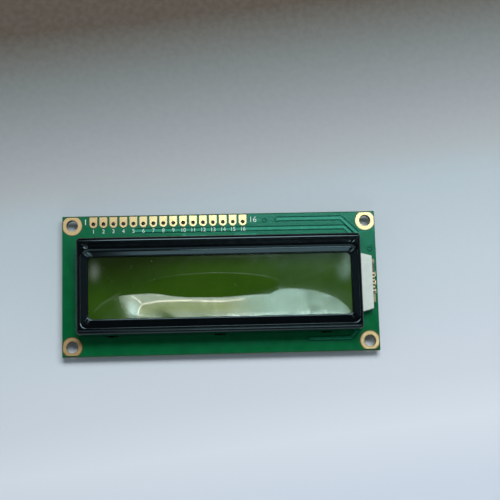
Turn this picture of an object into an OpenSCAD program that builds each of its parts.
// Character LCD module: a two-row liquid crystal display behind a stamped
// steel bezel, on a circuit board with a sixteen-way row of header holes.
//
// Frame: the origin is the centre of the four mounting holes on the front
// face of the board. +X runs along the board, +Y towards the header row and
// +Z out of the display. The module rests on the twisted tabs of its bezel.

/* [Circuit board] */
// Length of the board along X
board_w = 80; // [79.5:0.1:80.5]
// Width of the board along Y
board_d = 36; // [35.8:0.1:36.4]
// Thickness of the board
board_t = 1.6; // [1.2:0.1:2.0]
// Width of the score bevel on each long edge
score_w = 0.35; // [0.1:0.05:0.45]
// Depth of the score bevel on each face
score_t = 0.45; // [0.1:0.05:0.5]

/* [Mounting holes] */
// Distance between hole centres along X
hole_pitch_x = 75; // [74.5:0.1:75.2]
// Distance between hole centres along Y
hole_pitch_y = 31; // [30.8:0.1:31.2]
// Diameter inside the plating
hole_d = 2.9; // [2.5:0.1:3.2]
// Diameter of the bare ring round each hole
ring_d = 5; // [4.2:0.1:5.2]

/* [Header row] */
// Number of header holes
header_n = 16; // [14:1:16]
// Distance from one header hole to the next
header_pitch = 2.54; // [2.5:0.01:2.54]
// Diameter inside the plating
header_d = 1; // [0.8:0.05:1.1]
// X of the first hole's centre
header_x = -32.1; // [-32.3:0.05:-31.9]
// Y of the row
header_y = 15.8; // [15.5:0.05:15.9]
// Width of one bullet-shaped pad
pad_w = 1.94; // [1.6:0.02:2.1]

/* [Bezel] */
// Outer length of the bezel
bezel_w = 71.3; // [71:0.1:71.6]
// Outer width of the bezel
bezel_d = 24.3; // [24.1:0.1:24.5]
// Height of the bezel over the board
bezel_h = 7; // [6.6:0.1:7.6]
// Thickness of the sheet metal
metal_t = 0.5; // [0.4:0.05:0.5]
// X of the bezel's centre
bezel_x = -0.35; // [-0.5:0.05:0]
// Y of the bezel's centre
bezel_y = -0.9; // [-1:0.05:-0.8]
// Radius of the rolled rim
rim_r = 0.5; // [0.3:0.05:0.5]
// Radius of the bezel's corners in plan
corner_r = 0.8; // [0.6:0.05:1]
// Length of the window
window_w = 66; // [65:0.1:66.2]
// Width of the window
window_d = 15.8; // [15:0.1:16]
// Radius of the window's corners
window_r = 1.2; // [0.8:0.1:1.5]
// Flat lip round the window
lip_w = 0.25; // [0.1:0.05:0.3]
// Drop of the sloped frame down to the lip
slope_h = 0.9; // [0.5:0.05:1]
// Width of the sloped frame
slope_w = 1.7; // [1.2:0.05:1.9]

/* [Bezel grooves] */
// Length of the pressed groove along each long side
groove_w = 66.8; // [60:0.1:67]
// Distance from the bezel's outer edge to the groove's centre line
groove_in = 1.55; // [1.4:0.05:1.6]
// Radius of the pressing tool
groove_r = 0.6; // [0.5:0.05:0.65]
// Depth of the groove
groove_t = 0.4; // [0.2:0.05:0.45]

/* [Bezel tabs] */
// Tabs along each long side
tab_n = 3; // [2:1:3]
// Distance from one tab to the next
tab_pitch = 27; // [24:1:28]
// Width of one tab
tab_w = 2.4; // [2:0.1:2.8]
// Length of tab behind the board
tab_drop = 1.8; // [1.7:0.1:2.2]
// Twist that locks each tab, in degrees
tab_twist = 40; // [20:5:45]

/* [Display cell] */
// Thickness of each glass
glass_t = 1.1; // [1:0.05:1.1]
// Thickness of each polariser
polariser_t = 0.2; // [0.15:0.05:0.25]
// Thickness of the protective film
film_t = 0.06; // [0.05:0.01:0.1]
// Clearance round the front glass inside the bezel
glass_gap = 0.25; // [0.2:0.05:0.4]
// Width of the contact ledge along each long side of the front glass
ledge_w = 2.4; // [2.3:0.05:2.5]
// Thickness of the seal between the glasses
seal_t = 0.05; // [0.03:0.01:0.06]
// Width of the seal line
seal_w = 0.8; // [0.6:0.1:1]

/* [Connector strips] */
// Length of each elastomer strip
strip_w = 65; // [60:0.5:66]
// Thickness of each elastomer strip
strip_d = 1.9; // [1.6:0.05:1.9]
// Contact fingers under each strip
finger_n = 44; // [30:1:44]
// Distance from one finger to the next
finger_pitch = 1.4; // [1.2:0.1:1.4]
// Width of one finger
finger_w = 0.7; // [0.5:0.05:0.8]

/* [Backlight] */
// Width of the housing under the glass
housing_d = 17.2; // [16.8:0.1:17.4]
// Width of the housing where it leaves the bezel
neck_d = 15; // [14:0.1:15.4]
// Width of the housing at its far end
tail_d = 13.4; // [12.6:0.1:13.6]
// X of the housing's far end
tail_x = 38.45; // [38.2:0.05:38.6]
// Wall thickness of the housing
housing_t = 0.8; // [0.6:0.05:0.9]
// Thickness of the diffuser sheet
diffuser_t = 0.15; // [0.1:0.05:0.2]
// Thickness of the reflector sheet
reflector_t = 0.15; // [0.1:0.05:0.2]
// Thickness of the LED board
led_board_t = 0.6; // [0.4:0.05:0.7]
// Width of the LED board
led_board_w = 11; // [10.6:0.1:11.4]
// Number of LED chips
led_n = 3; // [2:1:3]
// Distance from one LED chip to the next
led_pitch = 3; // [2.8:0.1:3.2]

/* [Back of the board] */
// Radius of each epoxy cap
blob_r = 7.8; // [6:0.1:8]
// Height of each epoxy cap
blob_h = 1.25; // [0.9:0.05:1.4]
// X of each cap's centre either side of the middle
blob_x = 13.5; // [12:0.1:14]
// Length of a chip part
chip_l = 2; // [1.6:0.1:2.2]
// Width of a chip part
chip_w = 1.25; // [0.8:0.05:1.3]
// Height of a chip resistor
resistor_h = 0.5; // [0.4:0.05:0.6]
// Height of a chip capacitor
capacitor_h = 0.9; // [0.6:0.05:1]

/* [Hidden] */

$fn = 48;
hull_fn = 32;
crown_fn = 360;
// overlap that keeps a cutting tool clear of the face it cuts through
cut = 0.5;

// copper and plating
plating_t = 0.04;
pad_t = 0.05;
pad_inset = 0.2;
pad_end_y = board_d / 2 - 0.4;

// heights in the bezel, from the lip down to the board
lip_z = bezel_h - slope_h;
film_z = lip_z - metal_t - film_t;
front_polariser_z = film_z - polariser_t;
front_glass_z = front_polariser_z - glass_t;
seal_z = front_glass_z - seal_t;
rear_glass_z = seal_z - glass_t;
rear_polariser_z = rear_glass_z - polariser_t;
diffuser_z = rear_polariser_z - diffuser_t;
housing_h = diffuser_z;

// display cell in plan
glass_w = bezel_w - 2 * (metal_t + glass_gap);
glass_d = bezel_d - 2 * (metal_t + glass_gap);
rear_glass_d = glass_d - 2 * ledge_w;
film_w = window_w + 0.9;
film_d = window_d + 0.9;
port_w = 3;
port_out = 0.2;

// connector strips stand under the ledges of the front glass
strip_y = rear_glass_d / 2 + ledge_w / 2;
finger_l = 2.2;

// bezel in plan
slope_top_w = window_w + 2 * (lip_w + slope_w);
slope_top_d = window_d + 2 * (lip_w + slope_w);
slope_foot_w = window_w + 2 * lip_w;
slope_foot_d = window_d + 2 * lip_w;
slope_top_r = 0.5;
notch_gap = 0.15;
notch_h = housing_h + 0.15;
notch_d = neck_d + 2 * notch_gap;

// tabs and the slots they pass through
tab_y = bezel_d / 2 - metal_t / 2;
tab_tip = 0.6;
slot_w = 3.2;
slot_d = 0.9;
tab_xs = [for (i = [0:tab_n - 1]) (i - (tab_n - 1) / 2) * tab_pitch];

// backlight in plan, measured from the bezel's centre
housing_x = window_w / 2 + 0.9;
neck_x = bezel_w / 2 + 0.2;
tail_out = tail_x - bezel_x;
guide_clear = 0.05;
guide_d = housing_d - 2 * housing_t - 2 * guide_clear;
guide_w = 2 * (housing_x - housing_t - guide_clear);
guide_tail_d = 9.6;
floor_t = 0.3;
roof_t = 0.35;
guide_z = floor_t + reflector_t;
guide_h = housing_h - guide_z;
led_w = 2.2;
led_h = 1.2;
led_t = 0.55;
led_y = 0.4;
tail_guide_x = tail_out - led_t - guide_clear;
joint_r = 0.6;
joint_l = 1.1;
joint_ys = [2.4, 0.2, -2.0];

// chip parts on the back: [x, y, turn about Z]
resistor_places = [
    for (i = [0:4]) [29, 5.4 - 2.7 * i, 0],
    [-26, 3.5, 0],
    [-26, 0.6, 0],
    [8.6, 11.4, 90],
    [11.4, 11.4, 90]
];
capacitor_places = [[-26, -3.4, 0], [0, -7.6, 90], [0, 6.4, 90]];
link_places = [[-20.5, -15], [-16, -15], [15, -15], [19.5, -15]];
cap_l = 0.35;
cap_grow = 0.03;
solder_l = 0.45;
land_l = 1.05;
land_w = 1.4;
land_in = 0.15;
land_gap = 0.5;

// the cap is the top of a sphere through its rim and its crown
blob_sphere_r = (pow(blob_r, 2) + pow(blob_h, 2)) / (2 * blob_h);

// moves its children to the bezel's centre
module at_bezel() {
    translate([bezel_x, bezel_y, 0]) children();
}

// copies its children to each of the four mounting holes
module at_mounting_holes() {
    for (sx = [-1, 1])
        for (sy = [-1, 1])
            translate([sx * hole_pitch_x / 2, sy * hole_pitch_y / 2, 0])
                children();
}

// copies its children to each header hole
module at_header_holes() {
    for (i = [0:header_n - 1])
        translate([header_x + i * header_pitch, header_y, 0]) children();
}

// copies its children to each tab, turned so that +Y points outwards
module at_tabs() {
    at_bezel()
        for (side = [0, 180])
            rotate([0, 0, side])
                for (x = tab_xs)
                    translate([x, tab_y, 0]) children();
}

// copies its children to each place, with +Z pointing out of the back
module at_back(places) {
    for (p = places)
        translate([p[0], p[1], -board_t])
            mirror([0, 0, 1])
                rotate([0, 0, p[2]])
                    children();
}

// centred box that stands on z
module slab(w, d, z, h) {
    translate([-w / 2, -d / 2, z]) cube([w, d, h]);
}

// plan of a rectangle with rounded corners
module rounded_plan(w, d, r) {
    square([w - 2 * r, d], center = true);
    square([w, d - 2 * r], center = true);
    for (sx = [-1, 1])
        for (sy = [-1, 1])
            translate([sx * (w / 2 - r), sy * (d / 2 - r)]) circle(r);
}

// ---- circuit board ----

// section of the board across its width, with a score bevel on each edge
module board_section() {
    edge = board_d / 2;
    polygon([
        [-edge + score_w, 0], [edge - score_w, 0],
        [edge, -score_t], [edge, -board_t + score_t],
        [edge - score_w, -board_t], [-edge + score_w, -board_t],
        [-edge, -board_t + score_t], [-edge, -score_t]
    ]);
}

module tab_slot() {
    slab(slot_w - slot_d, slot_d, -board_t - cut, board_t + 2 * cut);
    for (sx = [-1, 1])
        translate([sx * (slot_w - slot_d) / 2, 0, -board_t - cut])
            cylinder(d = slot_d, h = board_t + 2 * cut);
}

module pcb() {
    color("seagreen")
        difference() {
            rotate([90, 0, 90])
                linear_extrude(board_w, center = true) board_section();
            at_mounting_holes()
                translate([0, 0, -board_t - cut])
                    cylinder(d = hole_d + 2 * plating_t, h = board_t + 2 * cut);
            at_header_holes()
                translate([0, 0, -board_t - cut])
                    cylinder(d = header_d + 2 * plating_t, h = board_t + 2 * cut);
            at_tabs() tab_slot();
        }
}

// tube through the board, open at both ends
module barrel(d) {
    translate([0, 0, -board_t - pad_t])
        cylinder(d = d + 2 * plating_t, h = board_t + 2 * pad_t);
}

// copies a pad onto both faces of the board
module both_faces() {
    linear_extrude(pad_t) children();
    translate([0, 0, -board_t - pad_t]) linear_extrude(pad_t) children();
}

// plan of the board inside which bare copper is kept
module copper_limit() {
    square([board_w - 2 * pad_inset, 2 * pad_end_y], center = true);
}

module mounting_hole_plating() {
    color("khaki")
        difference() {
            union() {
                both_faces()
                    intersection() {
                        at_mounting_holes() circle(d = ring_d);
                        copper_limit();
                    }
                at_mounting_holes() barrel(hole_d);
            }
            at_mounting_holes()
                translate([0, 0, -board_t - cut])
                    cylinder(d = hole_d, h = board_t + 2 * cut);
        }
}

// pad with a round nose at its hole and a flat end towards the board's edge
module bullet_pad() {
    circle(d = pad_w);
    translate([-pad_w / 2, 0]) square([pad_w, pad_end_y - header_y]);
}

module header_hole_plating() {
    color("khaki")
        difference() {
            union() {
                both_faces() at_header_holes() bullet_pad();
                at_header_holes() barrel(header_d);
            }
            at_header_holes()
                translate([0, 0, -board_t - cut])
                    cylinder(d = header_d, h = board_t + 2 * cut);
        }
}

module contact_fingers() {
    color("khaki")
        at_bezel()
            for (sy = [-1, 1])
                for (i = [0:finger_n - 1])
                    translate([(i - (finger_n - 1) / 2) * finger_pitch, sy * strip_y, 0])
                        slab(finger_w, finger_l, 0, pad_t);
}

// ---- bezel ----

// upright section with a rolled upper edge, from the middle out to reach
module rolled_section(reach) {
    square([reach, bezel_h - rim_r]);
    square([reach - rim_r, bezel_h]);
    translate([reach - rim_r, bezel_h - rim_r])
        intersection() {
            circle(rim_r);
            square(rim_r);
        }
}

// the outside of the bezel as a block: four turned corners and the walls
module bezel_block() {
    long = bezel_w - 2 * corner_r;
    short = bezel_d - 2 * corner_r;
    for (sx = [-1, 1])
        for (sy = [-1, 1])
            translate([sx * long / 2, sy * short / 2, 0])
                rotate_extrude() rolled_section(corner_r);
    for (turn = [0, 180])
        rotate([0, 0, turn]) {
            rotate([90, 0, 90])
                linear_extrude(long, center = true) rolled_section(bezel_d / 2);
            rotate([90, 0, 0])
                linear_extrude(short, center = true) rolled_section(bezel_w / 2);
        }
}

// dish that narrows from the top of the sloped frame to its foot
module dish(top_z) {
    hull() {
        translate([0, 0, top_z])
            linear_extrude(cut)
                rounded_plan(slope_top_w, slope_top_d, slope_top_r, $fn = hull_fn);
        translate([0, 0, top_z - slope_h])
            linear_extrude(0.01)
                rounded_plan(slope_foot_w, slope_foot_d, window_r, $fn = hull_fn);
    }
}

// long rod with ball ends, sunk along each long side
module groove_tool(r) {
    reach = groove_w / 2 - groove_r;
    for (sy = [-1, 1])
        translate([0, sy * (bezel_d / 2 - groove_in), bezel_h + groove_r - groove_t]) {
            rotate([0, 90, 0]) cylinder(r = r, h = 2 * reach, center = true);
            for (sx = [-1, 1])
                translate([sx * reach, 0, 0]) sphere(r);
        }
}

// what the metal leaves free inside the bezel
module bezel_hollow() {
    difference() {
        linear_extrude(bezel_h - metal_t)
            rounded_plan(bezel_w - 2 * metal_t, bezel_d - 2 * metal_t, corner_r - metal_t);
        dish(bezel_h - metal_t);
        groove_tool(groove_r + metal_t);
    }
}

// a tab stands in its slot, twists behind the board and ends straight
module tab() {
    twist_h = tab_drop - tab_tip;
    slab(tab_w, metal_t, -board_t, board_t + cut);
    translate([0, 0, -board_t - twist_h])
        rotate([0, 0, tab_twist])
            linear_extrude(twist_h, twist = tab_twist, slices = 5, segments = 4)
                square([tab_w, metal_t], center = true);
    translate([0, 0, -board_t - tab_drop])
        rotate([0, 0, tab_twist])
            slab(tab_w, metal_t, 0, tab_tip);
}

module bezel() {
    color([0.09, 0.1, 0.11]) {
        at_bezel()
            difference() {
                bezel_block();
                bezel_hollow();
                dish(bezel_h);
                groove_tool(groove_r);
                linear_extrude(bezel_h)
                    rounded_plan(window_w, window_d, window_r);
                translate([bezel_w / 2 - metal_t - cut, -notch_d / 2, -cut])
                    cube([metal_t + 2 * cut, notch_d, notch_h + cut]);
            }
        at_tabs() tab();
    }
}

// ---- display cell ----

module protective_film() {
    color([0.85, 0.9, 0.88, 0.4])
        at_bezel() slab(film_w, film_d, film_z, film_t);
}

module front_polariser() {
    color([0.3, 0.36, 0.2, 0.7])
        at_bezel() slab(film_w, film_d, front_polariser_z, polariser_t);
}

module front_glass() {
    color([0.6, 0.7, 0.6, 0.5])
        at_bezel() slab(glass_w, glass_d, front_glass_z, glass_t);
}

module cell_seal() {
    seal_gap = 0.4;
    w = glass_w - 2 * seal_gap;
    d = rear_glass_d - 2 * seal_gap;
    color("dimgray")
        at_bezel()
            difference() {
                slab(w, d, seal_z, seal_t);
                slab(w - 2 * seal_w, d - 2 * seal_w, seal_z - cut, seal_t + 2 * cut);
            }
}

// bead of resin across the edges of both glasses
module fill_port_plug() {
    bead_h = 1.2;
    color("lightyellow")
        at_bezel()
            translate([-glass_w / 2 - port_out, -port_w / 2, seal_z + seal_t / 2 - bead_h / 2])
                cube([port_out, port_w, bead_h]);
}

module rear_glass() {
    color([0.6, 0.7, 0.6, 0.5])
        at_bezel() slab(glass_w, rear_glass_d, rear_glass_z, glass_t);
}

module rear_polariser() {
    color([0.55, 0.62, 0.3])
        at_bezel() slab(film_w, film_d, rear_polariser_z, polariser_t);
}

// elastomer strip between the contact fingers and the ledge of the glass
module connector_strip(side) {
    color("lightpink")
        at_bezel()
            translate([0, side * strip_y, 0])
                slab(strip_w, strip_d, pad_t, front_glass_z - pad_t);
}

module upper_connector_strip() {
    connector_strip(1);
}

module lower_connector_strip() {
    connector_strip(-1);
}

// ---- backlight ----

module diffuser_sheet() {
    color("white")
        at_bezel() slab(film_w, film_d, diffuser_z, diffuser_t);
}

// plan of the housing: a block under the glass, a neck and a tapered tail
module housing_plan() {
    polygon([
        [-housing_x, -housing_d / 2], [housing_x, -housing_d / 2],
        [housing_x, -neck_d / 2], [neck_x, -neck_d / 2],
        [tail_out, -tail_d / 2], [tail_out, tail_d / 2],
        [neck_x, neck_d / 2], [housing_x, neck_d / 2],
        [housing_x, housing_d / 2], [-housing_x, housing_d / 2]
    ]);
}

// plan of the light guide: a plate with a narrower tail towards the LEDs
module guide_plan(clear, tail_end) {
    square([guide_w + 2 * clear, guide_d + 2 * clear], center = true);
    translate([0, -guide_tail_d / 2 - clear])
        square([tail_end, guide_tail_d + 2 * clear]);
}

module light_guide() {
    color([0.9, 0.97, 0.8, 0.6])
        at_bezel()
            difference() {
                translate([0, 0, guide_z])
                    linear_extrude(guide_h) guide_plan(0, tail_guide_x);
                translate([guide_w / 2, -housing_d / 2, housing_h - roof_t])
                    cube([tail_out, housing_d, roof_t + cut]);
            }
}

module reflector_sheet() {
    color("white")
        at_bezel()
            translate([0, 0, floor_t]) linear_extrude(reflector_t) guide_plan(0, tail_guide_x);
}

module backlight_housing() {
    color("whitesmoke")
        at_bezel()
            difference() {
                linear_extrude(housing_h) housing_plan();
                translate([0, 0, floor_t])
                    linear_extrude(housing_h)
                        square([guide_w + 2 * guide_clear, guide_d + 2 * guide_clear], center = true);
                translate([0, 0, floor_t])
                    linear_extrude(housing_h - floor_t - roof_t)
                        guide_plan(guide_clear, tail_out + cut);
            }
}

module led_board() {
    color("tan")
        translate([tail_x, bezel_y + led_y - led_board_w / 2, 0])
            cube([led_board_t, led_board_w, housing_h - 0.2]);
}

module led_chips() {
    color("lemonchiffon")
        for (i = [0:led_n - 1])
            translate([
                tail_x - led_t,
                bezel_y + led_y + (i - (led_n - 1) / 2) * led_pitch - led_w / 2,
                guide_z + 0.2
            ])
                cube([led_t, led_w, led_h]);
}

// concave solder fillet in the corner of a face at x = 0 and a floor at z = 0
module fillet(r, l) {
    rotate([90, 0, 0])
        linear_extrude(l, center = true)
            difference() {
                square(r);
                translate([r, r]) circle(r - 0.05);
            }
}

module led_board_joints() {
    color("silver")
        for (y = joint_ys)
            translate([tail_x + led_board_t, bezel_y + y, 0]) fillet(joint_r, joint_l);
}

// ---- back of the board ----

// low round cap of black epoxy over a bare chip and its bond wires
module epoxy_cap(x) {
    color([0.06, 0.06, 0.06])
        translate([x, 0, -board_t])
            mirror([0, 0, 1])
                rotate_extrude()
                    intersection() {
                        translate([0, blob_h - blob_sphere_r])
                            circle(blob_sphere_r, $fn = crown_fn);
                        square([blob_r + cut, blob_h + cut]);
                    }
}

module controller_cap() {
    epoxy_cap(-blob_x);
}

module driver_cap() {
    epoxy_cap(blob_x);
}

module chip_body(h) {
    slab(chip_l - 2 * cap_l, chip_w, pad_t, h);
}

module chip_end_caps(h) {
    for (sx = [-1, 1])
        translate([sx * (chip_l - cap_l) / 2, 0, 0])
            slab(cap_l, chip_w + 2 * cap_grow, pad_t, h + cap_grow);
}

module chip_solder(h) {
    for (turn = [0, 180])
        rotate([0, 0, turn])
            translate([chip_l / 2, 0, pad_t]) fillet(min(solder_l, h), chip_w);
}

module chip_lands() {
    for (sx = [-1, 1])
        translate([sx * (chip_l / 2 - cap_l - land_in + land_l / 2), 0, 0])
            slab(land_l, land_w, 0, pad_t);
}

module resistor_bodies() {
    color("dimgray") at_back(resistor_places) chip_body(resistor_h);
}

module resistor_end_caps() {
    color("silver") at_back(resistor_places) chip_end_caps(resistor_h);
}

module capacitor_bodies() {
    color("burlywood") at_back(capacitor_places) chip_body(capacitor_h);
}

module capacitor_end_caps() {
    color("silver") at_back(capacitor_places) chip_end_caps(capacitor_h);
}

module component_solder() {
    color("silver") {
        at_back(resistor_places) chip_solder(resistor_h);
        at_back(capacitor_places) chip_solder(capacitor_h);
    }
}

module component_pads() {
    color("silver") {
        at_back(resistor_places) chip_lands();
        at_back(capacitor_places) chip_lands();
        for (p = link_places)
            for (sx = [-1, 1])
                translate([p[0] + sx * (land_l + land_gap) / 2, p[1], 0])
                    slab(land_l, land_w, -board_t - pad_t, pad_t);
    }
}

pcb();
mounting_hole_plating();
header_hole_plating();
contact_fingers();
component_pads();
bezel();
protective_film();
front_polariser();
front_glass();
cell_seal();
fill_port_plug();
rear_glass();
rear_polariser();
upper_connector_strip();
lower_connector_strip();
diffuser_sheet();
light_guide();
reflector_sheet();
backlight_housing();
led_board();
led_chips();
led_board_joints();
controller_cap();
driver_cap();
resistor_bodies();
resistor_end_caps();
capacitor_bodies();
capacitor_end_caps();
component_solder();
